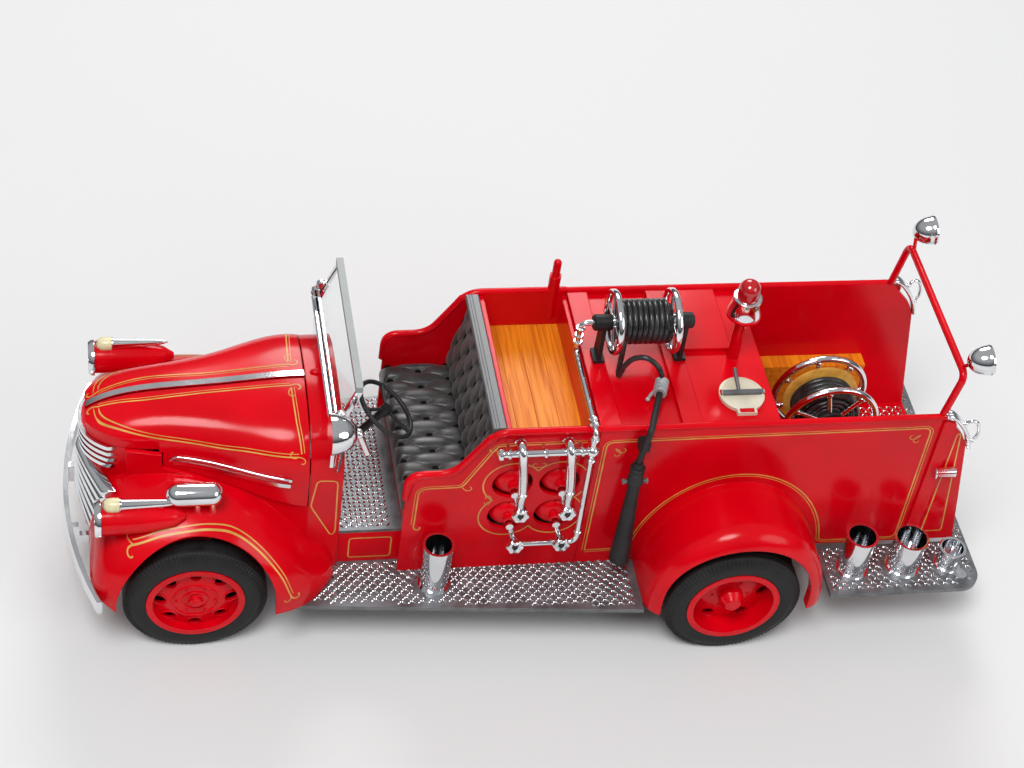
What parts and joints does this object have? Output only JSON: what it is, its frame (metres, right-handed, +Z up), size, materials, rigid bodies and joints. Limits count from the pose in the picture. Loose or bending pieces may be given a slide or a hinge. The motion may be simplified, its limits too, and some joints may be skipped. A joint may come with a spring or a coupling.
{
  "type": "open-cab fire engine scale model",
  "caption": "Display model of a vintage open-cab fire engine with gas bottles, a deck hose reel, a hose bed with a second reel, steering front wheels and an opening hood.",
  "frame": {"origin": "on the ground under the middle of the overall length and width", "axes": "+X to the rear of the vehicle, +Y to its right side, +Z up"},
  "size_m": [0.2464, 0.0918, 0.0956],
  "materials": {
    "red_paint": "gloss red enamel with thin gold lines",
    "black_paint": "satin black",
    "chrome_trim": "bright plating",
    "tread_plate": "bright embossed tread plate",
    "grey_paint": "matte grey",
    "black_plastic": "satin black plastic",
    "upholstery": "black tufted",
    "hose_rubber": "matte black",
    "tyre_rubber": "matte black",
    "wood_brown": "satin orange-brown",
    "clear_plastic": "clear",
    "lens_clear": "clear and cream lenses",
    "lens_red": "red lens on a chrome collar",
    "cream_paint": "cream lid with a grey handle"
  },
  "bodies": {
    "chassis": {"chassis": "black_paint", "front_axle": "black_paint", "rear_axle_housing": "black_paint", "body_front": "red_paint", "hood_strip": "chrome_trim", "grille": "chrome_trim", "bumper": "chrome_trim", "headlight_trim": "chrome_trim", "lamp_lenses": "lens_clear", "siren": "chrome_trim", "cowl": "red_paint", "windshield_glass": "clear_plastic", "windshield_frame": "grey_paint", "spotlight": "chrome_trim", "cab_floor": "tread_plate", "steering_column": "black_plastic", "seat_cushion": "upholstery", "seat_back": "upholstery", "tub": "red_paint", "wood": "wood_brown", "bottles": "red_paint", "piping": "chrome_trim", "reel_stand": "black_plastic", "reel_flanges": "chrome_trim", "hose": "hose_rubber", "horn": "black_plastic", "body_rear": "red_paint", "beacon": "lens_red", "rear_arch": "red_paint", "rear_brightwork": "chrome_trim", "rear_markers": "lens_red", "reel_posts": "black_plastic", "running_boards": "tread_plate", "tailboard": "tread_plate", "board_cups": "chrome_trim", "engine": "black_paint"},
    "knuckle_left": {"knuckle_left": "black_paint"},
    "knuckle_right": {"knuckle_right": "black_paint"},
    "tie_rod": {"tie_rod": "black_paint"},
    "wheel_front_left": {"rim_front_left": "red_paint", "tyre_front_left": "tyre_rubber"},
    "wheel_front_right": {"rim_front_right": "red_paint", "tyre_front_right": "tyre_rubber"},
    "rear_axle": {"rear_wheels": "red_paint", "rear_tyres": "tyre_rubber"},
    "hood_left": {"hood_left": "red_paint", "moulding_left": "chrome_trim"},
    "hood_right": {"hood_right": "red_paint", "moulding_right": "chrome_trim"},
    "steering_wheel": {"steering_wheel": "black_plastic"},
    "fill_lid": {"fill_lid": "cream_paint"},
    "rear_reel": {"rear_reel": "chrome_trim", "rear_hose": "hose_rubber"}
  },
  "joints": [
    {"name": "steer_left", "type": "hinge", "parent": "chassis", "child": "knuckle_left", "pos_m": [-0.0905, -0.024, 0.0186], "axis": [0, 0, 1], "range_deg": [-20, 20]},
    {"name": "steer_right", "type": "hinge", "parent": "chassis", "child": "knuckle_right", "pos_m": [-0.0905, 0.024, 0.0186], "axis": [0, 0, 1], "range_deg": [-20, 20]},
    {"name": "tie_rod_pivot", "type": "hinge", "parent": "knuckle_left", "child": "tie_rod", "pos_m": [-0.0835, -0.024, 0.0144], "axis": [0, 0, 1], "range_deg": [-20, 20]},
    {"name": "front_left_spin", "type": "hinge", "parent": "knuckle_left", "child": "wheel_front_left", "pos_m": [-0.0905, -0.031, 0.0186], "axis": [0, 1, 0], "continuous": true},
    {"name": "front_right_spin", "type": "hinge", "parent": "knuckle_right", "child": "wheel_front_right", "pos_m": [-0.0905, 0.031, 0.0186], "axis": [0, 1, 0], "continuous": true},
    {"name": "rear_spin", "type": "hinge", "parent": "chassis", "child": "rear_axle", "pos_m": [0.0515, 0, 0.0186], "axis": [0, 1, 0], "continuous": true},
    {"name": "hood_left_hinge", "type": "hinge", "parent": "chassis", "child": "hood_left", "pos_m": [-0.0615, -0.0012, 0.0669], "axis": [0.997, 0, 0.0778], "range_deg": [-70, 0]},
    {"name": "hood_right_hinge", "type": "hinge", "parent": "chassis", "child": "hood_right", "pos_m": [-0.0615, 0.0012, 0.0669], "axis": [0.997, 0, 0.0778], "range_deg": [0, 70]},
    {"name": "steering_wheel_turn", "type": "hinge", "parent": "chassis", "child": "steering_wheel", "pos_m": [-0.0416, -0.0105, 0.0636], "axis": [0.6157, 0, 0.788], "continuous": true},
    {"name": "fill_lid_hinge", "type": "hinge", "parent": "chassis", "child": "fill_lid", "pos_m": [0.0509, -0.0218, 0.069], "axis": [1, 0, 0], "range_deg": [0, 95]},
    {"name": "rear_reel_turn", "type": "hinge", "parent": "chassis", "child": "rear_reel", "pos_m": [0.0824, 0, 0.0474], "axis": [0, 1, 0], "continuous": true}
  ],
  "couplings": [
    {"joint": "steer_right", "follows": "steer_left", "ratio": 1},
    {"joint": "tie_rod_pivot", "follows": "steer_left", "ratio": -1}
  ]
}
